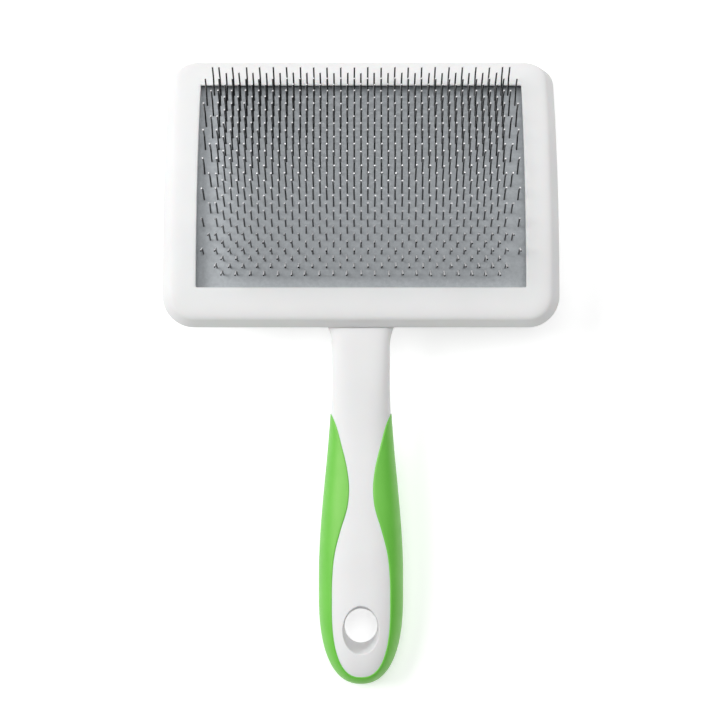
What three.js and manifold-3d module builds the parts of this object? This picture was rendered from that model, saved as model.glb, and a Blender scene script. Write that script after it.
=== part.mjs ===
// Slicker brush: a curved head of bent wire pins on a straight handle.
//
// Units are millimetres. The brush is drawn in its own frame, called the handle frame: x across the brush,
// y along the handle towards the head (0 at the head's lower edge), z out of the pin side (0 on the handle's
// centre plane). The finished group is then tipped and lifted, so that it lies on its back on z = 0 with the
// pins up.
//
// The head is curved round an axis parallel to x. A place on it is given by an angle round that axis, counted
// from the handle's normal, and by a height above the surface of the pin pad.

import * as THREE from 'three';
import { mergeVertices } from 'three/addons/utils/BufferGeometryUtils.js';
import Module from 'manifold-3d';

const wasm = await Module();
wasm.setup();

// ---- driving dimensions -------------------------------------------------------------------------------

const GAP = 0.3; // clearance between neighbouring pieces

// Head curve
const PAD_RADIUS = 104.9;
const CURVE_Y = 3.5;
const CURVE_Z = -99;

// Head outline and layers. Angles in degrees, heights above the pad surface.
const HEAD_LOW = -2.1;
const HEAD_HIGH = 47.35;
const HEAD_HALF_WIDTH = 58.9;
const FACE_HEIGHT = 4.1;
const SEAM_HEIGHT = 0.4;
const BACK_HEIGHT = -9;
const FLOOR_HEIGHT = -6.2;
const CORNER_LOW = 9.5; // outline corner radius at the handle end of the head
const CORNER_HIGH = 9.3;
const EDGE_HEIGHT = 0.8; // foot of the bevel round the face
const BEVEL_WIDTH = 1.7;
const SLOPE_WIDTH = 1.6; // the short slope between the bevel and the flat face
const SLOPE_DROP = 1;
const BACK_ROUND = 4.5;
const TIP_ROUND = 8.85; // the back's rounding at the tip, which the brush lies on

// Window and pad
const WINDOW_LOW = 4.2;
const WINDOW_HIGH = 40.3;
const WINDOW_HALF_WIDTH = 48.8;
const LIP_THICKNESS = 0.6; // the frame is this thin at the window's edge
const LIP_WIDTH = 3.2; // and is hollowed out below that for this width
const PAD_OVERLAP = 4.4; // how far the pad runs under the frame
const PAD_THICKNESS = 1.6;
const PAD_ROOM = 1.3; // play round the pad, so that it can sink into the shell
const FOAM_THICKNESS = 4;

// Pins
const ROW_PAIRS = 15; // pairs of one long row and one short row
const FIRST_ROW_ANGLE = 39.99; // the row at the tip of the head
const ROW_PITCH = 4.233;
const PIN_PITCH = 4.074;
const LONG_ROW_PINS = 22;
const SHORT_ROW_PINS = 21;
const WIRE = 0.45;
const SHANK_LENGTH = 7.65; // sheet to knee
const TIP_LENGTH = 6.9; // knee to tip
const KNEE_BEND = 18.8; // degrees, towards the handle
const CROWN_DEPTH = 1.4;
const CROWN_BELOW = 0.1; // the crown lies just under the pad's surface
const CROWN_HALF_LENGTH = 47.6;

// Handle
const NECK_HALF_WIDTH = 8.87;
const BELLY_HALF_WIDTH = 12.6;
const NECK_HALF_DEPTH = 6.2;
const BELLY_HALF_DEPTH = 9.2;
const BELLY_START = -16;
const BELLY_END = -74;
const ROUND_END_START = -80;
const HANDLE_END = -106.6;
const FLARE_START = -7; // the neck widens into the head from here
const FLARE_WIDTH = 1.4;
const NECK_LIFT = 1.7; // the neck's centre is above the handle's where it meets the head
const NECK_THINNING = 1.3; // and the neck is this much less deep there, on each side
const SECTION_POWER = 2.5; // superellipse power of the handle's sections
const NECK_SQUARENESS = 1.3; // and what the neck's sections have on top of it
const END_FLATNESS = 0.6; // how late the depth falls off at the round end
const HANDLE_SIDES = 20;
const HANDLE_STATIONS = [
  18, 8, 0, -1.5, -3.5, -7, -16, -26, -36, -46, -56, -66, -75, -82, -89, -95, -99.5, -102.8, -105,
];

// Hang hole
const HOLE_Y = -90.1;
const HOLE_BACK_RADIUS = 4.9;
const HOLE_FRONT_HALF_WIDTH = 5.3;
const HOLE_FRONT_HALF_LENGTH = 7.1;
const HOLE_SIDES = 28;

// Grip
const GRIP_THICKNESS = 1.9;
const GRIP_START = -27.6;
const PANEL_LOBE_START = -83;
const PANEL_LOBE_HALF_WIDTH = 8.75;
const PANEL_END = -104.2;
// The white panel down the handle, from the neck past its waist to the round lobe: [y, half width]
const PANEL_POINTS = [
  [-22, 10.6],
  [-28.4, 8],
  [-35.5, 5.8],
  [-42.6, 4.1],
  [-48, 3.55],
  [-53.3, 4],
  [-60.4, 6.1],
  [-67.5, 7.9],
  [-75, 8.65],
  [PANEL_LOBE_START, PANEL_LOBE_HALF_WIDTH],
];

// Rest
const REST_TILT = 7.5; // degrees from the handle to the surface the brush lies on
const REST_HEIGHT = 20.24; // the handle frame's origin above that surface
const REST_Y = 11.5; // and its place along the brush, which centres the brush on the origin

const radians = THREE.MathUtils.degToRad;
const { lerp, smoothstep } = THREE.MathUtils;

// ---- solids and meshes --------------------------------------------------------------------------------

// A closed mesh as a manifold solid
function solid(points, triangles) {
  const vertProperties = new Float32Array(points.flatMap((p) => [p.x, p.y, p.z]));
  const triVerts = new Uint32Array(triangles);
  return new wasm.Manifold(new wasm.Mesh({ numProp: 3, vertProperties, triVerts }));
}

// A three.js geometry as a manifold solid
function fromGeometry(geometry) {
  geometry.deleteAttribute('normal');
  geometry.deleteAttribute('uv');
  const merged = mergeVertices(geometry);
  const position = merged.getAttribute('position');
  const point = (_, i) => new THREE.Vector3().fromBufferAttribute(position, i);
  return solid(Array.from({ length: position.count }, point), Array.from(merged.index.array));
}

function block(width, length, height, x, y, z) {
  const geometry = new THREE.BoxGeometry(width, length, height);
  geometry.translate(x, y, z);
  return fromGeometry(geometry);
}

// An outline in x and y, as a prism centred on z = 0
function prism(shape, depth) {
  const geometry = new THREE.ExtrudeGeometry(shape, { depth, bevelEnabled: false });
  geometry.translate(0, 0, -depth / 2);
  return fromGeometry(geometry);
}

// A solid through a list of rings, each with the same number of points, closed with a flat fan at both ends
function loft(rings) {
  const count = rings[0].length;
  const last = (rings.length - 1) * count;
  const triangles = [];
  for (let r = 0; r + 1 < rings.length; r += 1) {
    for (let i = 0; i < count; i += 1) {
      const a = r * count + i;
      const b = r * count + ((i + 1) % count);
      triangles.push(a, b, b + count, a, b + count, a + count);
    }
  }
  for (let i = 1; i + 1 < count; i += 1) {
    triangles.push(0, i + 1, i, last, last + i, last + i + 1);
  }
  return solid(rings.flat(), triangles);
}

function mesh(name, shape, material) {
  const { vertProperties, triVerts } = shape.getMesh();
  const geometry = new THREE.BufferGeometry();
  geometry.setAttribute('position', new THREE.BufferAttribute(vertProperties, 3));
  geometry.setIndex(new THREE.BufferAttribute(triVerts, 1));
  geometry.computeVertexNormals();
  const result = new THREE.Mesh(geometry, material);
  result.name = name;
  return result;
}

// ---- places on the curved head ------------------------------------------------------------------------

function onHead(x, angle, height) {
  const radius = PAD_RADIUS + height;
  return new THREE.Vector3(
    x,
    CURVE_Y + radius * Math.sin(radians(angle)),
    CURVE_Z + radius * Math.cos(radians(angle)),
  );
}

function arcToAngle(length) {
  return THREE.MathUtils.radToDeg(length / PAD_RADIUS);
}

// The angles of a curved piece's cross-sections, about 4 degrees apart
function stations(low, high) {
  const steps = Math.ceil((high - low) / 4);
  return Array.from({ length: steps + 1 }, (_, i) => lerp(low, high, i / steps));
}

// A slab bent round the head's curve
function bentSlab(low, high, halfWidth, bottom, top) {
  const ring = (angle) => [
    onHead(-halfWidth, angle, bottom),
    onHead(-halfWidth, angle, top),
    onHead(halfWidth, angle, top),
    onHead(halfWidth, angle, bottom),
  ];
  return loft(stations(low, high).map(ring));
}

// ---- head ---------------------------------------------------------------------------------------------

// How far a round edge of the given radius has drawn back at a distance from the outline
function roundedBy(radius, distance) {
  if (distance >= radius) {
    return 0;
  }
  return radius - Math.sqrt(radius ** 2 - (radius - distance) ** 2);
}

// How far the face has fallen at a distance from the outline
function faceDrop(distance) {
  if (distance < BEVEL_WIDTH) {
    return lerp(FACE_HEIGHT - EDGE_HEIGHT, SLOPE_DROP, distance / BEVEL_WIDTH);
  }
  return Math.max(0, SLOPE_DROP * (1 - (distance - BEVEL_WIDTH) / SLOPE_WIDTH));
}

// The head's outer cross-section at an angle: a flat face with a bevel, drafted sides and a rounded back
function headRing(angle) {
  const fromLow = radians(angle - HEAD_LOW) * PAD_RADIUS;
  const fromHigh = radians(HEAD_HIGH - angle) * PAD_RADIUS;
  const corner = roundedBy(CORNER_LOW, fromLow) + roundedBy(CORNER_HIGH, fromHigh);
  const end = Math.min(fromLow, fromHigh);
  const face = FACE_HEIGHT - faceDrop(end);
  const crease = Math.min(face, FACE_HEIGHT - SLOPE_DROP);
  const back = BACK_HEIGHT + Math.max(roundedBy(BACK_ROUND, fromLow), roundedBy(TIP_ROUND, fromHigh));
  const width = HEAD_HALF_WIDTH - corner;
  const profile = [
    [width - BEVEL_WIDTH - SLOPE_WIDTH, face],
    [width - BEVEL_WIDTH, crease],
    [width, EDGE_HEIGHT],
    [width - 0.3, lerp(SEAM_HEIGHT, back, 0.55)],
    [width - 1.6, lerp(SEAM_HEIGHT, back, 0.85)],
    [width - 4.4, back],
  ];
  const right = profile.map(([x, height]) => onHead(x, angle, height));
  const left = profile.map(([x, height]) => onHead(-x, angle, height));
  return [...right, ...left.reverse()];
}

function headSolid() {
  const step = arcToAngle(1);
  const slopeEnd = BEVEL_WIDTH + SLOPE_WIDTH;
  const low = [0, 0.5, BEVEL_WIDTH, slopeEnd, 6, CORNER_LOW].map((arc) => HEAD_LOW + arc * step);
  const high = [CORNER_HIGH, 6, slopeEnd, BEVEL_WIDTH, 0.5, 0].map((arc) => HEAD_HIGH - arc * step);
  const middle = stations(low.at(-1), high[0]).slice(1, -1);
  return loft([...low, ...middle, ...high].map(headRing));
}

// Everything on one side of the seam between the frame and the shell
function beyondSeam(bottom, top) {
  return bentSlab(HEAD_LOW - 3, HEAD_HIGH + 3, HEAD_HALF_WIDTH + 5, bottom, top);
}

const lipAngle = arcToAngle(LIP_WIDTH);
const overlapAngle = arcToAngle(PAD_OVERLAP);
const roomAngle = arcToAngle(PAD_OVERLAP + PAD_ROOM);

// The front frame: a thin lip round the window, hollow behind, with the seam's rim round the outside
function frontFrame(head) {
  const window = bentSlab(WINDOW_LOW, WINDOW_HIGH, WINDOW_HALF_WIDTH, -2, FACE_HEIGHT + 4);
  const hollow = bentSlab(
    WINDOW_LOW - lipAngle,
    WINDOW_HIGH + lipAngle,
    WINDOW_HALF_WIDTH + LIP_WIDTH,
    -2,
    FACE_HEIGHT - LIP_THICKNESS,
  );
  return head.intersect(beyondSeam(SEAM_HEIGHT, FACE_HEIGHT + 6)).subtract(window).subtract(hollow);
}

function backShell(head) {
  return head.intersect(beyondSeam(BACK_HEIGHT - 6, SEAM_HEIGHT - GAP));
}

// The room inside the shell for the pad and the foam
function pocket() {
  return bentSlab(
    WINDOW_LOW - roomAngle,
    WINDOW_HIGH + roomAngle,
    WINDOW_HALF_WIDTH + PAD_OVERLAP + PAD_ROOM,
    FLOOR_HEIGHT,
    FACE_HEIGHT,
  );
}

// ---- pad, foam and pins -------------------------------------------------------------------------------

const crownHalf = WIRE / 2;

function rowAngle(row) {
  return FIRST_ROW_ANGLE - arcToAngle((row * ROW_PITCH) / 2);
}

// A thin flat slab across the head, at a right angle to its surface: the crown of a row, or the slot for it
function crossSlab(angle, halfLength, halfThickness, bottom, top) {
  const centre = onHead(0, angle, 0);
  const along = new THREE.Vector3(0, Math.cos(radians(angle)), -Math.sin(radians(angle)));
  const up = new THREE.Vector3(0, Math.sin(radians(angle)), Math.cos(radians(angle)));
  const corner = (x, side, height) =>
    centre.clone().addScaledVector(along, side * halfThickness).addScaledVector(up, height).setX(x);
  const ring = (side) => [
    corner(-halfLength, side, bottom),
    corner(-halfLength, side, top),
    corner(halfLength, side, top),
    corner(halfLength, side, bottom),
  ];
  return loft([ring(-1), ring(1)]);
}

function pinPad() {
  let pad = bentSlab(
    WINDOW_LOW - overlapAngle,
    WINDOW_HIGH + overlapAngle,
    WINDOW_HALF_WIDTH + PAD_OVERLAP,
    -PAD_THICKNESS,
    0,
  );
  for (let row = 0; row < 2 * ROW_PAIRS; row += 1) {
    pad = pad.subtract(
      crossSlab(rowAngle(row), CROWN_HALF_LENGTH + GAP, crownHalf + GAP, -PAD_THICKNESS - 1, 1),
    );
  }
  return pad;
}

function foamCushion() {
  const top = -PAD_THICKNESS - GAP;
  return bentSlab(
    WINDOW_LOW - overlapAngle,
    WINDOW_HIGH + overlapAngle,
    WINDOW_HALF_WIDTH + PAD_OVERLAP,
    top - FOAM_THICKNESS,
    top,
  );
}

// Where the pins of a row stand, across the head. Long rows carry one more pin at each side, half a pitch
// out on every second one.
function pinPlaces(row) {
  const isShort = row % 2 === 1;
  const count = isShort ? SHORT_ROW_PINS : LONG_ROW_PINS;
  const places = Array.from({ length: count }, (_, i) => (i - (count - 1) / 2) * PIN_PITCH);
  const pair = (row - (row % 2)) / 2;
  if (isShort || pair === ROW_PAIRS - 1) {
    return places;
  }
  const outer = (pair % 2 === 0 ? 11 : 11.5) * PIN_PITCH;
  return [-outer, ...places, outer];
}

// One row: a crown strip inside the pad and its pins, each a three-sided wire with a knee. The wires' feet
// lie on the strip's own top edges, so the row is one closed skin.
function pinRow(row) {
  const angle = radians(rowAngle(row));
  const foot = onHead(0, rowAngle(row), 0);
  const along = new THREE.Vector3(0, Math.cos(angle), -Math.sin(angle));
  const up = new THREE.Vector3(0, Math.sin(angle), Math.cos(angle));
  const points = [];
  const triangles = [];
  const add = (x, side, height) => {
    points.push(foot.clone().addScaledVector(along, side).addScaledVector(up, height).setX(x));
    return points.length - 1;
  };

  const top = -CROWN_BELOW;
  const bottom = top - CROWN_DEPTH;
  const lowEnds = { back: [], front: [] };
  const topEnds = { back: [], front: [] };
  for (const [name, side] of [['back', -crownHalf], ['front', crownHalf]]) {
    lowEnds[name] = [add(-CROWN_HALF_LENGTH, side, bottom), add(CROWN_HALF_LENGTH, side, bottom)];
    topEnds[name] = [add(-CROWN_HALF_LENGTH, side, top), add(CROWN_HALF_LENGTH, side, top)];
  }

  const bend = radians(KNEE_BEND);
  const tipHeight = SHANK_LENGTH + TIP_LENGTH * Math.cos(bend);
  const tipShift = -TIP_LENGTH * Math.sin(bend);
  const section = (x, shift, height) => [
    add(x - WIRE / 2, shift - crownHalf, height),
    add(x + WIRE / 2, shift - crownHalf, height),
    add(x, shift + crownHalf, height),
  ];
  const feet = pinPlaces(row).map((x) => {
    const rings = [section(x, 0, top), section(x, 0, SHANK_LENGTH), section(x, tipShift, tipHeight)];
    for (let r = 0; r < 2; r += 1) {
      for (let i = 0; i < 3; i += 1) {
        const [a, b] = [rings[r][i], rings[r][(i + 1) % 3]];
        const [c, d] = [rings[r + 1][(i + 1) % 3], rings[r + 1][i]];
        triangles.push(a, b, c, a, c, d);
      }
    }
    triangles.push(...rings[2]);
    return rings[0];
  });

  // The strip's top, between the feet
  const backTop = [topEnds.back[0], ...feet.flatMap(([left, right]) => [left, right]), topEnds.back[1]];
  const frontTop = [topEnds.front[0], ...feet.map(([, , tip]) => tip), topEnds.front[1]];
  for (let i = 0; i + 1 < frontTop.length; i += 1) {
    const [a, b] = [backTop[2 * i], backTop[2 * i + 1]];
    triangles.push(a, b, frontTop[i + 1], a, frontTop[i + 1], frontTop[i]);
  }
  // Its back and front faces: half of the top edge is joined to each bottom corner
  const wall = (top, [left, right], outward) => {
    const half = Math.floor(top.length / 2);
    const faces = [];
    for (let i = 0; i + 1 < top.length; i += 1) {
      faces.push([top[i], i < half ? left : right, top[i + 1]]);
    }
    faces.push([top[half], left, right]);
    triangles.push(...faces.flatMap(([a, b, c]) => (outward ? [a, b, c] : [a, c, b])));
  };
  wall(backTop, lowEnds.back, true);
  wall(frontTop, lowEnds.front, false);
  // Its bottom and its two ends
  const quad = (a, b, c, d) => triangles.push(a, b, c, a, c, d);
  quad(lowEnds.back[0], lowEnds.front[0], lowEnds.front[1], lowEnds.back[1]);
  quad(topEnds.back[0], topEnds.front[0], lowEnds.front[0], lowEnds.back[0]);
  quad(lowEnds.back[1], lowEnds.front[1], topEnds.front[1], topEnds.back[1]);
  return solid(points, triangles);
}

// ---- handle -------------------------------------------------------------------------------------------

// The handle's half width, half depth, centre height and superellipse power at a place along it
function handleAt(y) {
  const belly = smoothstep(-y, -BELLY_START, -BELLY_END);
  const past = Math.max(0, (ROUND_END_START - y) / (ROUND_END_START - HANDLE_END));
  const end = (1 - past ** 2.4) ** (1 / 2.4);
  const thinning = NECK_THINNING * smoothstep(y, -25, 0);
  const flare = FLARE_WIDTH * THREE.MathUtils.clamp((y - FLARE_START) / -FLARE_START, 0, 1) ** 2.5;
  return {
    width: lerp(NECK_HALF_WIDTH, BELLY_HALF_WIDTH, belly) * end + flare,
    depth: lerp(NECK_HALF_DEPTH, BELLY_HALF_DEPTH, belly) * end ** END_FLATNESS - thinning,
    centre: NECK_LIFT * smoothstep(y, -40, 0),
    power: SECTION_POWER + NECK_SQUARENESS * smoothstep(y, -36, -2),
  };
}

// A rounded cross-section, drawn in from the outside by an inset
function handleRing(y, inset) {
  const { width, depth, centre, power } = handleAt(y);
  return Array.from({ length: HANDLE_SIDES }, (_, i) => {
    const turn = (2 * Math.PI * (i + 0.5)) / HANDLE_SIDES;
    const squared = (value) => Math.sign(value) * Math.abs(value) ** (2 / power);
    return new THREE.Vector3(
      squared(Math.cos(turn)) * (width - inset),
      y,
      centre + squared(Math.sin(turn)) * (depth - inset),
    );
  });
}

function handleSolid(inset) {
  const end = HANDLE_END + 0.5 + inset;
  const places = HANDLE_STATIONS.filter((y) => y > end + 0.6);
  return loft([...places, end].map((y) => handleRing(y, inset)));
}

// The outline of the white panel that the grip leaves open, as a prism through the handle
function panelPrism(margin) {
  const lobe = [0.3, 0.55, 0.75, 0.9, 0.98].map((part) => [
    lerp(PANEL_LOBE_START, PANEL_END, part),
    PANEL_LOBE_HALF_WIDTH * (1 - part ** 2.5) ** (1 / 2.5),
  ]);
  const edge = [[30, 60], [-22, 60], ...PANEL_POINTS, ...lobe];
  const right = edge.map(([y, half]) => new THREE.Vector2(half + margin, y));
  const left = edge.map(([y, half]) => new THREE.Vector2(-half - margin, y)).reverse();
  const end = new THREE.Vector2(0, PANEL_END - margin);
  return prism(new THREE.Shape([...right, end, ...left]), 60);
}

function gripSleeve() {
  const start = block(100, 100, 100, 0, GRIP_START + 50, 0);
  return handleSolid(0).subtract(handleSolid(GRIP_THICKNESS)).subtract(panelPrism(GAP)).subtract(start);
}

// The white core: the full handle on the panel, and a thinner core under the grip
function handleCore() {
  const start = block(100, 100, 100, 0, GRIP_START + GAP + 50, 0);
  const outside = handleSolid(0).intersect(panelPrism(0).add(start));
  return outside.add(handleSolid(GRIP_THICKNESS + GAP));
}

// Round at the back, and opened out towards the handle's end at the front
function hangHole() {
  const reach = 14;
  const ring = (side) => {
    const opened = (side * reach + BELLY_HALF_DEPTH) / (2 * BELLY_HALF_DEPTH);
    const halfWidth = lerp(HOLE_BACK_RADIUS, HOLE_FRONT_HALF_WIDTH, opened);
    const halfLength = lerp(HOLE_BACK_RADIUS, HOLE_FRONT_HALF_LENGTH, opened);
    return Array.from({ length: HOLE_SIDES }, (_, i) => {
      const turn = (2 * Math.PI * i) / HOLE_SIDES;
      const y = HOLE_Y + halfLength * Math.sin(turn);
      return new THREE.Vector3(halfWidth * Math.cos(turn), y, side * reach);
    });
  };
  return loft([ring(-1), ring(1)]);
}

// ---- assembly -----------------------------------------------------------------------------------------

// Everything below the surface that the brush lies on
function belowRest() {
  const depth = 40;
  const geometry = new THREE.BoxGeometry(160, 320, depth);
  geometry.translate(0, 0, -depth / 2 - REST_HEIGHT);
  geometry.rotateX(-radians(REST_TILT));
  return fromGeometry(geometry);
}

function handleBody(head) {
  const frameRoom = bentSlab(
    HEAD_LOW - arcToAngle(GAP),
    HEAD_HIGH + 3,
    HEAD_HALF_WIDTH + 5,
    SEAM_HEIGHT - GAP,
    FACE_HEIGHT + 12,
  );
  return backShell(head)
    .add(handleCore())
    .subtract(frameRoom)
    .subtract(pocket())
    .subtract(hangHole())
    .subtract(belowRest());
}

const whitePlastic = new THREE.MeshStandardMaterial({ color: 0xeeeeec, roughness: 0.32, metalness: 0 });
const greenRubber = new THREE.MeshStandardMaterial({ color: 0x62bd45, roughness: 0.5, metalness: 0 });
const greySheet = new THREE.MeshStandardMaterial({ color: 0x9aa0a6, roughness: 0.8, metalness: 0 });
const whiteFoam = new THREE.MeshStandardMaterial({ color: 0xe6e3da, roughness: 0.95, metalness: 0 });
const steelWire = new THREE.MeshStandardMaterial({ color: 0xb9bcc0, roughness: 0.25, metalness: 1 });

const head = headSolid();
const brush = new THREE.Group();
brush.add(mesh('handle_body', handleBody(head), whitePlastic));
brush.add(mesh('front_frame', frontFrame(head), whitePlastic));
brush.add(mesh('grip_sleeve', gripSleeve(), greenRubber));
brush.add(mesh('pin_pad', pinPad(), greySheet));
brush.add(mesh('foam_cushion', foamCushion(), whiteFoam));
for (let row = 0; row < 2 * ROW_PAIRS; row += 1) {
  const name = `pin_row_${String(row + 1).padStart(2, '0')}`;
  brush.add(mesh(name, pinRow(row), steelWire));
}
brush.rotation.x = radians(REST_TILT);
brush.position.set(0, REST_Y, REST_HEIGHT);

const group = new THREE.Group();
group.add(brush);
export default group;
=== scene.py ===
"""Looks for the slicker brush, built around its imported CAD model.

Shapes are worked out in millimetres in the handle frame, as the CAD source does: x across the
brush, y along the handle towards the head, z out of the pin side. place() turns that into the
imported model's frame, in metres. A place on the head is given flat, as (x, s, h): s runs along the
head's curve, and h is the height above the pad.
"""

from math import atan2, cos, hypot, pi, radians, sin

import bmesh
import bpy
import numpy as np
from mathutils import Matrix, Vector

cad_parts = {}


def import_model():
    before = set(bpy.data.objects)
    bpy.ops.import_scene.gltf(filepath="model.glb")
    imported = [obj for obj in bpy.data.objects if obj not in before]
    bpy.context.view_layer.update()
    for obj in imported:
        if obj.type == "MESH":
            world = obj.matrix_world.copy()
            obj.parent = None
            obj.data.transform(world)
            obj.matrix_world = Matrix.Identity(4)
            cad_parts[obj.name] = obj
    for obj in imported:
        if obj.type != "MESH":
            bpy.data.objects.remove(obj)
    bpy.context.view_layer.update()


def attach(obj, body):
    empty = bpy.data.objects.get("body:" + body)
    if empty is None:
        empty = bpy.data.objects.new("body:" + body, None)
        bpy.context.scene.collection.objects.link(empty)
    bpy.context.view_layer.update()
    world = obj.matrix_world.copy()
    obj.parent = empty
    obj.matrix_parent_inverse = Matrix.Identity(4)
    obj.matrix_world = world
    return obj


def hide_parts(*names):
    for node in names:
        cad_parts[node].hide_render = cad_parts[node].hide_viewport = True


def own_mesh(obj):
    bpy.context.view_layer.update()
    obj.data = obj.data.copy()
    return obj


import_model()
rng = np.random.default_rng(7)

# ---- driving dimensions, in millimetres and degrees ---------------------------------------------

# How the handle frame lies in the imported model
REST_TILT = 7.5
REST_Y = 11.5
REST_HEIGHT = 20.24

# The head's curve
PAD_RADIUS = 104.9
CURVE_Y = 3.5
CURVE_Z = -99.0

# Heights over the pad, then the head's outline and window
FACE = 4.1
SEAM = 0.4
BACK = -9.0
FLOOR = -6.2
GAP = 0.3
HEAD_HALF = 58.9
CORNER_LOW = 9.5
CORNER_HIGH = 9.3
BACK_ROUND = 4.5
TIP_ROUND = 8.85
SIDE_DRAFT = 0.4
RIM_INSET = 0.15
FACE_INSET = 6.0
WINDOW_HALF = 48.8
LIP_THICKNESS = 0.6
LIP_WIDTH = 3.2
PAD_OVERLAP = 4.4
PAD_ROOM = 1.3
POCKET_CORNER = 1.5
PAD_THICKNESS = 1.6
FOAM_THICKNESS = 4.0

# The pins
FIRST_ROW_ANGLE = 39.99
ROW_PITCH = 4.233
PIN_PITCH = 4.074
ROW_COUNT = 30
LONG_ROW = 22
SHORT_ROW = 21
WIRE_RADIUS = 0.26
SHANK = 7.65
TIP = 6.9
KNEE_BEND = 18.8
KNEE_RADIUS = 1.1

# The handle
NECK_HALF_WIDTH = 8.87
BELLY_HALF_WIDTH = 12.6
NECK_HALF_DEPTH = 6.2
BELLY_HALF_DEPTH = 9.2
BELLY_START = -16.0
BELLY_END = -74.0
ROUND_END = -80.0
HANDLE_END = -106.6
FLARE_START = -7.0
FLARE_WIDTH = 1.4
NECK_LIFT = 1.7
NECK_THINNING = 1.3
SECTION_POWER = 2.5
NECK_SQUARENESS = 1.3
END_POWER = 2.4
END_FLATNESS = 0.6

HOLE_Y = -90.1
HOLE_BACK_RADIUS = 4.9
HOLE_FRONT_HALF_WIDTH = 5.3
HOLE_FRONT_HALF_LENGTH = 7.1

# The front panel's outline, and the grip round it
LOBE_START = -83.0
LOBE_HALF_WIDTH = 8.75
LOBE_END = -104.2
LOBE_POWER = 2.5
PANEL_Y = [-26.0, -28.4, -35.5, -42.6, -48.0, -53.3, -60.4, -67.5, -75.0, LOBE_START]
PANEL_HALF = [9.2, 8.0, 5.8, 4.1, 3.55, 4.0, 6.1, 7.9, 8.65, LOBE_HALF_WIDTH]
GRIP_THICKNESS = 1.2
GRIP_PROUD = 0.25

# Distances along the head's curve
HEAD_LOW = radians(-2.1) * PAD_RADIUS
HEAD_HIGH = radians(47.35) * PAD_RADIUS
WINDOW_LOW = radians(4.2) * PAD_RADIUS
WINDOW_HIGH = radians(40.3) * PAD_RADIUS

# The direction in which the wires get their painted highlight, the facings over which their painted
# shade turns pale, and how far the floor lights itself
PAINTED_HIGHLIGHT_SIDE = (-0.5, 0.8, 0.33)
PAINTED_SHADE_FROM_TO = (0.1, 0.34)
FLOOR_GLOW = 0.39

# The camera's place in the handle frame, and how far off the lights stand
CAMERA_X = -0.3
CAMERA_Y = -10.0
CAMERA_HEIGHT = 813.0
LIGHT_DISTANCE = 4000

# ---- places and meshes --------------------------------------------------------------------------


def place(points):
    """Handle-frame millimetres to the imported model's metres."""
    x, y, z = np.asarray(points, float).reshape(-1, 3).T
    c, s = cos(radians(REST_TILT)), sin(radians(REST_TILT))
    return np.column_stack([x, y * c - z * s + REST_Y, y * s + z * c + REST_HEIGHT]) / 1000


def bend(flat):
    """Flat head places (x, s, h) to the handle frame."""
    x, s, h = np.asarray(flat, float).reshape(-1, 3).T
    angle = s / PAD_RADIUS
    radius = PAD_RADIUS + h
    return np.column_stack([x, CURVE_Y + radius * np.sin(angle), CURVE_Z + radius * np.cos(angle)])


def make_mesh(name, points, faces, material, sharp_angle=32):
    mesh = bpy.data.meshes.new(name)
    mesh.from_pydata(place(points).tolist(), [], faces)
    mesh.validate()
    obj = bpy.data.objects.new(name, mesh)
    bpy.context.scene.collection.objects.link(obj)
    mesh.materials.append(material)
    tidy_mesh(obj, sharp_angle)
    return obj


def tidy_mesh(obj, sharp_angle):
    """Welds, turns the faces outward and shades smooth except over sharp edges."""
    bm = bmesh.new()
    bm.from_mesh(obj.data)
    bmesh.ops.remove_doubles(bm, verts=bm.verts, dist=2e-6)
    bmesh.ops.dissolve_degenerate(bm, edges=bm.edges, dist=1e-6)
    bmesh.ops.recalc_face_normals(bm, faces=bm.faces)
    bm.to_mesh(obj.data)
    bm.free()
    obj.data.polygons.foreach_set("use_smooth", [True] * len(obj.data.polygons))
    obj.data.set_sharp_from_angle(angle=radians(sharp_angle))


def grid_faces(rows, columns, close_rows=False, close_columns=False):
    """The quads between neighbouring points of a grid."""
    faces = []
    for r in range(rows if close_rows else rows - 1):
        for c in range(columns if close_columns else columns - 1):
            r2, c2 = (r + 1) % rows, (c + 1) % columns
            near, far = r * columns, r2 * columns
            faces.append((near + c, near + c2, far + c2, far + c))
    return faces


def tube_faces(rings, sides):
    """The faces through a stack of rings, with both ends closed."""
    last = (rings - 1) * sides
    caps = [tuple(range(sides)), tuple(range(last + sides - 1, last - 1, -1))]
    return grid_faces(rings, sides, close_columns=True) + caps


# ---- head outline -------------------------------------------------------------------------------


def rounded_rectangle(half, low, high, radius_low, radius_high, inset=0.0):
    """A closed outline in (x, s). Outlines of any size or inset have matching points."""
    corners = [
        (half, high, radius_high, 0),
        (-half, high, radius_high, 90),
        (-half, low, radius_low, 180),
        (half, low, radius_low, 270),
    ]
    arcs = []
    for x, s, radius, start in corners:
        centre = (x - np.sign(x) * radius, s - radius if s == high else s + radius)
        turned = np.radians(start + np.linspace(0, 90, 17))
        reach = max(radius - inset, 0.02)
        shift = radius - inset - reach
        arc_x = centre[0] + np.sign(x) * shift + reach * np.cos(turned)
        arc_s = centre[1] + (shift if s == high else -shift) + reach * np.sin(turned)
        arcs.append(np.column_stack([arc_x, arc_s]))
    points = []
    for arc, following, steps in zip(arcs, arcs[1:] + arcs[:1], (36, 40, 36, 40)):
        points.append(arc)
        between = np.linspace(0, 1, steps + 2)[1:-1, None]
        points.append(arc[-1] + between * (following[0] - arc[-1]))
    return np.vstack(points)


def head_outline(inset, tip_inset=None):
    """The head's outline, drawn in by an inset, which may be larger at the tip."""
    extra = 0 if tip_inset is None else tip_inset - inset
    high = HEAD_HIGH - extra
    return rounded_rectangle(HEAD_HALF, HEAD_LOW, high, CORNER_LOW, CORNER_HIGH, inset)


def rounded_by(radius, distance):
    """How far a round edge has drawn back at a distance from the face."""
    left = max(radius - distance, 0)
    return radius - (radius**2 - left**2) ** 0.5


def rectangle(half, low, high, radius=0.4):
    return rounded_rectangle(half, low, high, radius, radius)


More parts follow.
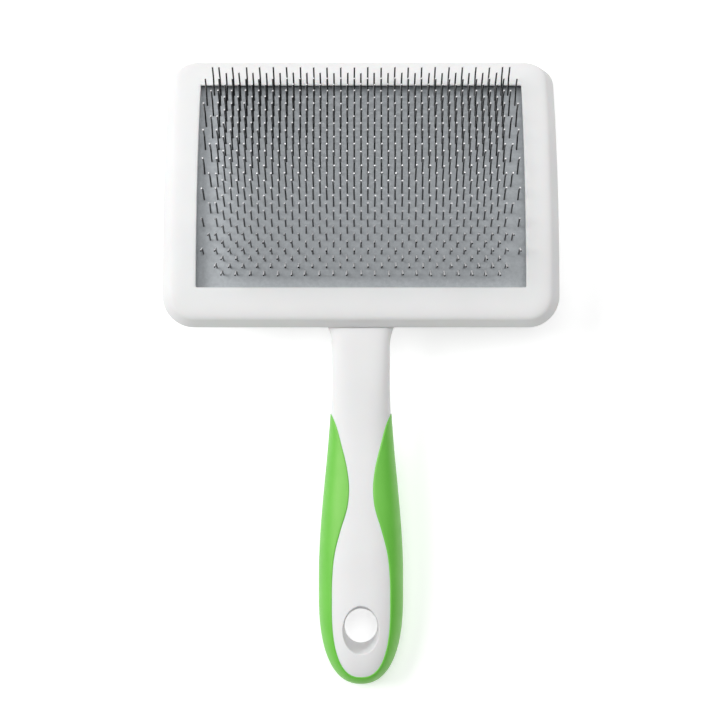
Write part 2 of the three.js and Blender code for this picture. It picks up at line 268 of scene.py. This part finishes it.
def ring(outline, height):
    """An outline at one height."""
    return np.column_stack([outline, np.full(len(outline), height)])


def closed_rings(name, rings, material, loop=False, **more):
    """A surface through matching rings of flat head places."""
    faces = grid_faces(len(rings), len(rings[0]), loop, close_columns=True)
    return make_mesh(name, bend(np.vstack(rings)), faces, material, **more)


def middle_line(outline, low, high):
    """The line that a flat fill shrinks to, point for point with the outline."""
    centre = (low + high) / 2
    reach = max(abs(outline[:, 0])) - (high - low) / 2
    return np.column_stack([np.clip(outline[:, 0], -reach, reach), np.full(len(outline), centre)])


def fill_rings(outline, height, steps, low, high):
    """Rings that close an outline with a flat fill."""
    line = middle_line(outline, low, high)
    return [ring(outline + (line - outline) * t, height) for t in np.linspace(0, 1, steps + 1)[1:]]


def front_frame(material):
    """The bezel: a hollow lip round the window, a flat face, and a soft fall to the edge."""

    def window(outset):
        low, high = WINDOW_LOW - outset, WINDOW_HIGH + outset
        return rectangle(WINDOW_HALF + outset, low, high, 0.4 + outset / 2)

    face_edge = head_outline(FACE_INSET)
    lip = window(0.25)
    underside = FACE - LIP_THICKNESS
    rings = [ring(window(LIP_WIDTH), SEAM), ring(window(LIP_WIDTH), underside - 0.3)]
    rings += [ring(window(LIP_WIDTH - 0.3), underside), ring(window(0.2), underside)]
    rings += [ring(window(0), underside + 0.1), ring(window(0), FACE - 0.25)]
    rings += [ring(window(0.08), FACE - 0.08), ring(lip, FACE)]
    rings += [ring(lip + (face_edge - lip) * t, FACE) for t in (0.25, 0.5, 0.75, 1.0)]
    fall = [(5.0, 0.03), (4.0, 0.12), (3.2, 0.28), (2.7, 0.46)]
    fall += [(2.3, 0.72), (2.0, 1.05), (1.75, 1.45)]
    rings += [ring(head_outline(inset), FACE - drop) for inset, drop in fall]
    edge = [(1.2, 2.1), (0.5, 1.35), (0.1, 0.9), (0.0, 0.6)]
    rings += [ring(head_outline(inset), height) for inset, height in edge]
    rim = head_outline(RIM_INSET)
    rings += [ring(rim + (window(LIP_WIDTH) - rim) * t, SEAM) for t in (0, 0.3, 0.65)]
    return closed_rings("bezel_frame", rings, material, loop=True, sharp_angle=40)


def shell_mesh(material):
    """The back shell, with the pocket for the pad and the foam."""
    margin = PAD_OVERLAP + PAD_ROOM
    low, high = WINDOW_LOW - margin, WINDOW_HIGH + margin
    pocket = rectangle(WINDOW_HALF + margin, low, high, POCKET_CORNER)
    rim = head_outline(RIM_INSET)
    rings = list(reversed(fill_rings(pocket, FLOOR, 10, low, high)))
    rings += [ring(pocket, FLOOR), ring(pocket, SEAM - GAP)]
    rings += [ring(rim + (pocket - rim) * t, SEAM - GAP) for t in (0.65, 0.3)]
    rings += [ring(rim, SEAM - GAP), ring(head_outline(0.0), SEAM - GAP - 0.1)]
    for above in (8.0, 7.0, 6.0, 5.2, BACK_ROUND, 3.6, 2.8, 2.1, 1.5, 1.0, 0.6, 0.3, 0.1, 0.0):
        inset = SIDE_DRAFT * min(1, (-BACK - above) / BACK_ROUND) + rounded_by(BACK_ROUND, above)
        tip_inset = max(inset, rounded_by(TIP_ROUND, above))
        rings.append(ring(head_outline(inset, tip_inset), BACK + above))
    inset = SIDE_DRAFT + BACK_ROUND
    back = head_outline(inset, TIP_ROUND)
    rings += fill_rings(back, BACK, 12, HEAD_LOW + inset, HEAD_HIGH - TIP_ROUND)
    return closed_rings("back_shell_part", rings, material, sharp_angle=40)


# ---- handle -------------------------------------------------------------------------------------


def smooth_step(value, low, high):
    """0 below low, 1 above high, and a smooth rise between."""
    t = np.clip((value - low) / (high - low), 0, 1)
    return t * t * (3 - 2 * t)


def handle_at(y):
    """Half width, half depth, centre height and superellipse power at places along the handle."""
    y = np.asarray(y, float)
    belly = smooth_step(-y, -BELLY_START, -BELLY_END)
    past = np.clip((ROUND_END - y) / (ROUND_END - HANDLE_END), 0, 1)
    end = (1 - past**END_POWER) ** (1 / END_POWER)
    flare = FLARE_WIDTH * np.clip((y - FLARE_START) / -FLARE_START, 0, 1) ** 2.5
    width = (NECK_HALF_WIDTH + (BELLY_HALF_WIDTH - NECK_HALF_WIDTH) * belly) * end + flare
    depth = (NECK_HALF_DEPTH + (BELLY_HALF_DEPTH - NECK_HALF_DEPTH) * belly) * end**END_FLATNESS
    depth = depth - NECK_THINNING * smooth_step(y, -25, 0)
    power = SECTION_POWER + NECK_SQUARENESS * smooth_step(y, -36, -2)
    return width, depth, NECK_LIFT * smooth_step(y, -40, 0), power


def handle_stations():
    """Where the handle's sections stand, closer together where its shape changes faster."""
    root = [np.linspace(18, 0, 7), np.linspace(-1, -7, 9)]
    turned = np.radians(np.linspace(2, 89.7, 36))
    end = ROUND_END + (HANDLE_END - ROUND_END) * np.sin(turned)
    return np.concatenate(root + [np.linspace(-9, ROUND_END, 48), end])


def handle_mesh(material, inset, sides=112):
    """The neck and the handle's core, drawn in by an inset so that the grip stands proud."""
    turned = 2 * pi * (np.arange(sides) + 0.5) / sides
    rings = []
    for y in handle_stations():
        width, depth, centre, power = handle_at(y)
        across = np.sign(np.cos(turned)) * abs(np.cos(turned)) ** (2 / power)
        up = np.sign(np.sin(turned)) * abs(np.sin(turned)) ** (2 / power)
        wide, deep = max(width - inset, 0.02), max(depth - inset, 0.02)
        rings.append(np.column_stack([across * wide, np.full(sides, y), centre + up * deep]))
    faces = tube_faces(len(rings), sides)
    return make_mesh("handle_part", np.vstack(rings), faces, material, sharp_angle=50)


def boolean(obj, other, operation):
    """Cuts or joins another mesh, which is then gone."""
    modifier = obj.modifiers.new(operation, "BOOLEAN")
    modifier.operation = operation
    modifier.solver = "EXACT"
    modifier.object = other
    apply_modifiers(obj)
    bpy.data.objects.remove(other)


def apply_modifiers(obj):
    depsgraph = bpy.context.evaluated_depsgraph_get()
    mesh = bpy.data.meshes.new_from_object(obj.evaluated_get(depsgraph))
    obj.modifiers.clear()
    obj.data = mesh


def hole_mesh(material):
    """The cutter for the hang hole. It opens out at both ends, so the rims come out rounded."""
    sides = 72
    turned = 2 * pi * np.arange(sides) / sides
    flare = [(1.0, 0.0), (0.7, 0.05), (0.45, 0.16), (0.25, 0.33)]
    flare += [(0.1, 0.55), (0.0, 0.8), (-1.5, 3.0)]

    def ellipse(z, out):
        opened = (z + BELLY_HALF_DEPTH) / (2 * BELLY_HALF_DEPTH)
        wide = HOLE_BACK_RADIUS + (HOLE_FRONT_HALF_WIDTH - HOLE_BACK_RADIUS) * opened + out
        long = HOLE_BACK_RADIUS + (HOLE_FRONT_HALF_LENGTH - HOLE_BACK_RADIUS) * opened + out
        return np.column_stack([wide * np.cos(turned), HOLE_Y + long * np.sin(turned), z])

    def rim(side, amount):
        near = ellipse(np.full(sides, side * BELLY_HALF_DEPTH), 0)
        surface = handle_surface(near[:, 0], near[:, 1], side)
        return [ellipse(surface - side * below * amount, out * amount) for below, out in flare]

    rings = rim(-1, 0.6)[::-1] + rim(1, 1.0)
    return make_mesh("hole_cutter", np.vstack(rings), tube_faces(len(rings), sides), material)


# ---- grip ---------------------------------------------------------------------------------------


def handle_surface(x, y, side):
    """The height of the handle's top (side 1) or bottom (side -1) surface over (x, y)."""
    width, depth, centre, power = handle_at(y)
    across = np.clip(abs(x) / np.maximum(width, 1e-6), 0, 1)
    return centre + side * depth * (1 - across**power) ** (1 / power)


def outward(points):
    """Unit normals of the handle's surface, from the slope of its own implicit form."""

    def level(p):
        width, depth, centre, power = handle_at(p[:, 1])
        wide = (abs(p[:, 0]) / np.maximum(width, 1e-3)) ** power
        return wide + (abs(p[:, 2] - centre) / np.maximum(depth, 1e-3)) ** power

    step = 1e-3
    rises = [level(points + step * axis) - level(points - step * axis) for axis in np.eye(3)]
    slope = np.column_stack(rises)
    return slope / np.linalg.norm(slope, axis=1)[:, None]


def panel_curve():
    """The right half of the white panel's outline, from the grip's start to the handle's end."""
    start = PANEL_Y[0] - 0.15 * np.arange(12)
    y = np.concatenate([start, np.linspace(PANEL_Y[1], LOBE_START, 76)])
    order = np.argsort(PANEL_Y)
    half = hermite(y, np.array(PANEL_Y)[order], np.array(PANEL_HALF)[order])
    turned = np.radians(np.linspace(0, 90, 40)[1:])
    lobe_x = LOBE_HALF_WIDTH * np.cos(turned) ** (2 / LOBE_POWER)
    lobe_y = LOBE_START + (LOBE_END - LOBE_START) * np.sin(turned) ** (2 / LOBE_POWER)
    keep = y > LOBE_START - 1e-9
    return np.vstack([np.column_stack([half[keep], y[keep]]), np.column_stack([lobe_x, lobe_y])])


def hermite(at, known_at, known):
    """A smooth curve through known values, with no overshoot."""
    slopes = np.gradient(known, known_at)
    i = np.clip(np.searchsorted(known_at, at) - 1, 0, len(known_at) - 2)
    span = known_at[i + 1] - known_at[i]
    t = (at - known_at[i]) / span
    a, b = known[i], known[i + 1]
    da, db = slopes[i] * span, slopes[i + 1] * span
    return a + t * da + t**2 * (3 * (b - a) - 2 * da - db) + t**3 * (2 * (a - b) + da + db)


def outline_beyond(x, y):
    """The point of the handle's outline beyond a point of the panel's outline."""
    if y >= LOBE_START:
        return float(handle_at(y)[0]), y
    angle = atan2(y - LOBE_START, x)
    near, far = hypot(x, y - LOBE_START), 30.0
    for _ in range(50):
        middle = (near + far) / 2
        px, py = middle * cos(angle), LOBE_START + middle * sin(angle)
        inside = py > HANDLE_END and px < handle_at(py)[0]
        near, far = (middle, far) if inside else (near, middle)
    return near * cos(angle), LOBE_START + near * sin(angle)


def grip_mesh(material, name, clearance=0.0):
    """The green band, from the front panel's outline round the sides and the end to the back's."""
    right = panel_curve()
    beyond = np.array([outline_beyond(x, y) for x, y in right])
    mirror = np.array([-1, 1])
    inner = np.vstack([right, right[-2::-1] * mirror])
    outer = np.vstack([beyond, beyond[-2::-1] * mirror])
    reach = np.hypot(*(outer - inner).T)
    thickness = np.minimum(GRIP_THICKNESS + clearance, 0.15 + 0.6 * reach)
    lip = np.minimum(0.45, 0.3 * reach)
    rows = []
    steps = np.sin(np.linspace(0, pi / 2, 22))
    for i in range(len(inner)):
        toward = (outer[i] - inner[i]) / max(reach[i], 1e-6)
        first = lip[i] / max(reach[i], 1e-6)
        share = np.concatenate([[0, 0.12 * first, 0.45 * first], first + (1 - first) * steps])
        sink = np.concatenate([[0.32, 0.14, 0.03], np.zeros(len(steps))]) * lip[i] / 0.45
        plan = inner[i] + toward * (share * reach[i])[:, None]
        top = np.column_stack([plan, handle_surface(plan[:, 0], plan[:, 1], 1)])
        bottom = np.column_stack([plan, handle_surface(plan[:, 0], plan[:, 1], -1)])
        skin = np.vstack([top, bottom[-2::-1]])
        sinks = np.concatenate([sink, sink[-2::-1]])
        normal = outward(skin)
        raised = skin - normal * (sinks - clearance)[:, None]
        inside = skin - normal * thickness[i]
        rows.append(np.vstack([raised, inside[::-1]]))
    faces = tube_faces(len(rows), len(rows[0]))
    return make_mesh(name, np.vstack(rows), faces, material, sharp_angle=50)


# ---- pad, foam and pins -------------------------------------------------------------------------


def bent_slab(name, bottom, top, edge, material):
    """A sheet or cushion under the window, with softened edges."""
    low, high = WINDOW_LOW - PAD_OVERLAP, WINDOW_HIGH + PAD_OVERLAP
    half = WINDOW_HALF + PAD_OVERLAP

    def outline(inset):
        return rectangle(half - inset, low + inset, high - inset, 1.0)

    rings = list(reversed(fill_rings(outline(edge), bottom, 12, low + edge, high - edge)))
    rings += [ring(outline(edge), bottom), ring(outline(0), bottom + edge)]
    rings += [ring(outline(0), top - edge), ring(outline(edge), top)]
    rings += fill_rings(outline(edge), top, 24, low + edge, high - edge)
    return closed_rings(name, rings, material, sharp_angle=60)


def pin_places(row):
    """Where a row's pins stand across the head."""
    short = row % 2 == 1
    count = SHORT_ROW if short else LONG_ROW
    places = (np.arange(count) - (count - 1) / 2) * PIN_PITCH
    pair = row // 2
    if short or pair == ROW_COUNT // 2 - 1:
        return places
    outer = (LONG_ROW / 2 if pair % 2 == 0 else LONG_ROW / 2 + 0.5) * PIN_PITCH
    return np.concatenate([[-outer], places, [outer]])


def pin_path():
    """The wire's centre line from inside the pad to the tip, as (along, up, direction)."""
    bent = radians(KNEE_BEND)
    cut = KNEE_RADIUS * np.tan(bent / 2)
    path = [(0.0, -1.0, 0.0), (0.0, SHANK - cut, 0.0)]
    for turned in np.linspace(0, bent, 4)[1:]:
        along = -KNEE_RADIUS * (1 - cos(turned))
        path.append((along, SHANK - cut + KNEE_RADIUS * sin(turned), turned))
    along, up, _ = path[-1]
    left = TIP - cut
    path.append((along - left * sin(bent), up + left * cos(bent), bent))
    return path


def pin_row(row, material):
    """One row of wires. Each leans a little its own way."""
    sides = 8
    angle = radians(FIRST_ROW_ANGLE) - row * ROW_PITCH / 2 / PAD_RADIUS
    foot = bend([[0, angle * PAD_RADIUS, 0]])[0]
    along = np.array([0, cos(angle), -sin(angle)])
    up = np.array([0, sin(angle), cos(angle)])
    across = np.array([1.0, 0, 0])
    turned = 2 * pi * np.arange(sides) / sides
    path = pin_path()
    path.append(path[-1])
    wire_faces = tube_faces(len(path), sides)
    points = []
    faces = []
    for x in pin_places(row):
        lean = rng.normal(0, 0.006, 2)
        faces += [tuple(len(points) + corner for corner in face) for face in wire_faces]
        for index, (a, h, direction) in enumerate(path):
            tip = index == len(path) - 1
            side = along * cos(direction) + up * sin(direction)
            radius = WIRE_RADIUS * (0.9 if tip else 1)
            rise = h + (0.04 if tip else 0)
            centre = foot + along * (a + lean[0] * h) + up * rise + across * (x + lean[1] * h)
            points += [centre + radius * (cos(t) * across + sin(t) * side) for t in turned]
    name = f"wire_row_{row + 1:02d}"
    return make_mesh(name, np.array(points), faces, material, sharp_angle=40)


# ---- materials ----------------------------------------------------------------------------------


class Nodes:
    """A short way to write a node material."""

    def __init__(self, name):
        self.material = bpy.data.materials.new(name)
        self.material.use_nodes = True
        self.tree = self.material.node_tree
        self.shader = self.tree.nodes["Principled BSDF"]
        self.coordinates = self.add("ShaderNodeTexCoord")
        self.place = self.coordinates.outputs["Object"]

    def add(self, kind, **settings):
        node = self.tree.nodes.new(kind)
        for key, value in settings.items():
            setattr(node, key, value)
        return node

    def link(self, output, target):
        self.tree.links.new(output, target)
        return target

    def noise(self, scale, detail=3.0, roughness=0.55):
        node = self.add("ShaderNodeTexNoise")
        node.inputs["Scale"].default_value = scale
        node.inputs["Detail"].default_value = detail
        node.inputs["Roughness"].default_value = roughness
        self.link(self.place, node.inputs["Vector"])
        return node.outputs["Fac"]

    def ramp(self, factor, low, high, start=0.3, end=0.7):
        """A colour or grey that runs from low to high as the factor does."""
        node = self.add("ShaderNodeValToRGB")
        for element, position, value in zip(node.color_ramp.elements, (start, end), (low, high)):
            element.position = position
            element.color = (*value, 1) if isinstance(value, tuple) else (value, value, value, 1)
        self.link(factor, node.inputs["Fac"])
        return node.outputs["Color"]

    def bump(self, height, strength, distance):
        node = self.add("ShaderNodeBump")
        node.inputs["Strength"].default_value = strength
        node.inputs["Distance"].default_value = distance
        self.link(height, node.inputs["Height"])
        self.link(node.outputs["Normal"], self.shader.inputs["Normal"])

    def colour(self, factor, low, high):
        self.link(self.ramp(factor, low, high), self.shader.inputs["Base Color"])

    def roughness(self, factor, low, high):
        self.link(self.ramp(factor, low, high), self.shader.inputs["Roughness"])

    def set(self, **values):
        for name, value in values.items():
            self.shader.inputs[name.replace("_", " ")].default_value = value


def white_plastic():
    m = Nodes("white_plastic")
    m.colour(m.noise(45), (0.80, 0.80, 0.80), (0.83, 0.83, 0.83))
    m.roughness(m.noise(260, 4), 0.6, 0.7)
    m.bump(m.noise(2600, 2), 0.06, 0.0002)
    m.set(Subsurface_Weight=0.08, Subsurface_Scale=0.002, Specular_IOR_Level=0.35)
    return m.material


def green_grip():
    m = Nodes("green_grip")
    m.colour(m.noise(60), (0.120, 0.53, 0.042), (0.138, 0.57, 0.052))
    m.roughness(m.noise(320, 4), 0.42, 0.5)
    m.bump(m.noise(3200, 3), 0.12, 0.0002)
    m.set(Specular_IOR_Level=1.0, Specular_Tint=(1.0, 0.9, 0.7, 1))
    return m.material


def grey_sheet():
    m = Nodes("grey_sheet")
    m.colour(m.noise(900, 5, 0.7), (0.40, 0.426, 0.447), (0.50, 0.528, 0.55))
    m.roughness(m.noise(500, 3), 0.62, 0.8)
    m.bump(m.noise(2400, 4, 0.7), 0.25, 0.0003)
    return m.material


def steel_wire():
    """Drawn wire, with a painted dark reflection and a painted highlight, set by which way its
    surface faces.

    The lights here don't give that shading. The side turned to the handle is always dark, a painted
    reflection, and the far side always pale, a painted highlight, whatever the lights and the view
    are.
    """
    m = Nodes("steel_wire")
    toward = m.add("ShaderNodeVectorMath", operation="DOT_PRODUCT")
    m.link(m.coordinates.outputs["Normal"], toward.inputs[0])
    toward.inputs[1].default_value = PAINTED_HIGHLIGHT_SIDE
    facing = toward.outputs["Value"]
    # Painted shade in the base colour: a painted dark reflection where the wire faces the handle, a
    # painted highlight where it faces away; the metalness follows it
    turned = m.ramp(facing, (0.010, 0.010, 0.011), (0.94, 0.94, 0.945), *PAINTED_SHADE_FROM_TO)
    m.link(m.ramp(facing, 1.0, 0.1, *PAINTED_SHADE_FROM_TO), m.shader.inputs["Metallic"])
    streaks = m.ramp(m.noise(1500, 3), 0.85, 1.0)
    mixed = m.add("ShaderNodeMix", data_type="RGBA", blend_type="MULTIPLY")
    mixed.inputs["Factor"].default_value = 1.0
    m.link(turned, mixed.inputs["A"])
    m.link(streaks, mixed.inputs["B"])
    m.link(mixed.outputs["Result"], m.shader.inputs["Base Color"])
    m.roughness(m.noise(1800, 3), 0.25, 0.4)
    m.bump(m.noise(5000, 2), 0.08, 0.0001)
    return m.material


def white_foam():
    m = Nodes("white_foam")
    cells = m.add("ShaderNodeTexVoronoi")
    cells.inputs["Scale"].default_value = 1400
    m.link(m.place, cells.inputs["Vector"])
    m.colour(cells.outputs["Distance"], (0.62, 0.60, 0.55), (0.80, 0.78, 0.73))
    m.roughness(m.noise(900), 0.85, 0.97)
    m.bump(cells.outputs["Distance"], 0.6, 0.0006)
    return m.material


def floor_material():
    m = Nodes("floor")
    m.colour(m.noise(4), 0.86, 0.88)
    m.set(Roughness=0.9, Specular_IOR_Level=0.1)
    m.set(Emission_Color=(1, 1, 1, 1), Emission_Strength=FLOOR_GLOW)
    return m.material


# ---- pieces -------------------------------------------------------------------------------------

white = white_plastic()
green = green_grip()
sheet = grey_sheet()
steel = steel_wire()
foam_look = white_foam()


def cut_rest_lands(obj):
    """Trims the flat lands that the brush lies on, with a block under the ground."""
    mesh = bpy.data.meshes.new("below")
    x, y, z = 0.08, 0.16, 0.02
    corners = [(i * x, j * y, k) for i in (-1, 1) for j in (-1, 1) for k in (-z, 0)]
    faces = [(0, 1, 3, 2), (4, 6, 7, 5), (0, 4, 5, 1), (2, 3, 7, 6), (0, 2, 6, 4), (1, 5, 7, 3)]
    mesh.from_pydata(corners, [], faces)
    below = bpy.data.objects.new("below", mesh)
    bpy.context.scene.collection.objects.link(below)
    boolean(obj, below, "DIFFERENCE")


def cut_frame_room(obj):
    """Clears the room that the bezel takes over the neck's root."""
    spare = 4
    top = 20
    low, high = HEAD_LOW - GAP, HEAD_HIGH + spare
    outline = rectangle(HEAD_HALF + spare, low, high)
    rings = list(reversed(fill_rings(outline, SEAM - GAP, 16, low, high)))
    rings += [ring(outline, height) for height in (SEAM - GAP, 8, top)]
    rings += fill_rings(outline, top, 16, low, high)
    boolean(obj, closed_rings("room", rings, white), "DIFFERENCE")


def cut_pocket(obj):
    """Clears the neck's root out of the pocket for the pad and the foam."""
    margin = PAD_OVERLAP + PAD_ROOM
    top = 3
    low, high = WINDOW_LOW - margin, WINDOW_HIGH + margin
    outline = rectangle(WINDOW_HALF + margin, low, high, POCKET_CORNER)
    rings = list(reversed(fill_rings(outline, FLOOR, 10, low, high)))
    rings += [ring(outline, FLOOR), ring(outline, top)]
    rings += fill_rings(outline, top, 10, low, high)
    boolean(obj, closed_rings("pocket", rings, white), "DIFFERENCE")


def brush_body():
    """The white moulding: the handle and neck, cut for what they hold, joined to the back shell."""
    handle = handle_mesh(white, GRIP_PROUD)
    boolean(handle, grip_mesh(white, "grip_cutter", clearance=0.03), "DIFFERENCE")
    boolean(handle, hole_mesh(white), "DIFFERENCE")
    cut_frame_room(handle)
    cut_pocket(handle)
    body = shell_mesh(white)
    body.name = "brush_body"
    boolean(body, handle, "UNION")
    cut_rest_lands(body)
    tidy_mesh(body, 40)
    return body


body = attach(brush_body(), "brush")
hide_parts("handle_body")

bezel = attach(front_frame(white), "brush")
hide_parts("front_frame")

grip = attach(grip_mesh(green, "soft_grip"), "brush")
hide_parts("grip_sleeve")

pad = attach(bent_slab("foundation_sheet", -PAD_THICKNESS, 0, 0.25, sheet), "pin_bed")
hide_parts("pin_pad")

foam_top = -PAD_THICKNESS - GAP
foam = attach(
    bent_slab("cushion_layer", foam_top - FOAM_THICKNESS, foam_top, 0.5, foam_look), "brush"
)
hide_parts("foam_cushion")
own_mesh(foam)

for row in range(ROW_COUNT):
    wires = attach(pin_row(row, steel), "pin_bed")
    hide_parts(f"pin_row_{row + 1:02d}")

# ---- stage, light and camera --------------------------------------------------------------------


def floor():
    """A plain floor, just below the lands that the brush lies on."""
    mesh = bpy.data.meshes.new("floor")
    mesh.from_pydata([(-3, -3, 0), (3, -3, 0), (3, 3, 0), (-3, 3, 0)], [], [(0, 1, 2, 3)])
    obj = bpy.data.objects.new("floor", mesh)
    obj.location.z = -0.0003
    bpy.context.scene.collection.objects.link(obj)
    mesh.materials.append(floor_material())


def soft_box(name, left, up, power, size):
    """A square light far from the brush, at angles to the left of and above the handle's normal."""
    data = bpy.data.lights.new(name, "AREA")
    data.size = size
    data.energy = power
    left, up = radians(left), radians(up)
    direction = np.array([-sin(left) * cos(up), sin(up), cos(left) * cos(up)])
    obj = bpy.data.objects.new(name, data)
    obj.location = place([direction * LIGHT_DISTANCE])[0]
    away = Vector(place([direction])[0] - place([[0, 0, 0]])[0])
    obj.rotation_euler = away.to_track_quat("Z", "Y").to_euler()
    bpy.context.scene.collection.objects.link(obj)


def camera():
    """Square to the handle, straight over the middle of the brush."""
    data = bpy.data.cameras.new("camera")
    data.sensor_width = 36
    data.lens = 136
    data.clip_end = 20
    obj = bpy.data.objects.new("camera", data)
    obj.location = place([[CAMERA_X, CAMERA_Y, CAMERA_HEIGHT]])[0]
    obj.rotation_euler = (radians(REST_TILT), 0, 0)
    bpy.context.scene.collection.objects.link(obj)
    bpy.context.scene.camera = obj


def world():
    data = bpy.data.worlds.new("studio")
    data.use_nodes = True
    data.node_tree.nodes["Background"].inputs["Color"].default_value = (1, 1, 1, 1)
    data.node_tree.nodes["Background"].inputs["Strength"].default_value = 0.04
    bpy.context.scene.world = data


floor()
soft_box("key", 45, 17, 112, 2.6)
soft_box("left", 68, 8, 7, 2.0)
soft_box("fill", -38, 24, 38, 3.0)
soft_box("front", 0, 8, 56, 2.0)
soft_box("top", 5, 60, 12, 2.4)
camera()
world()
bpy.context.scene.view_settings.view_transform = "Standard"
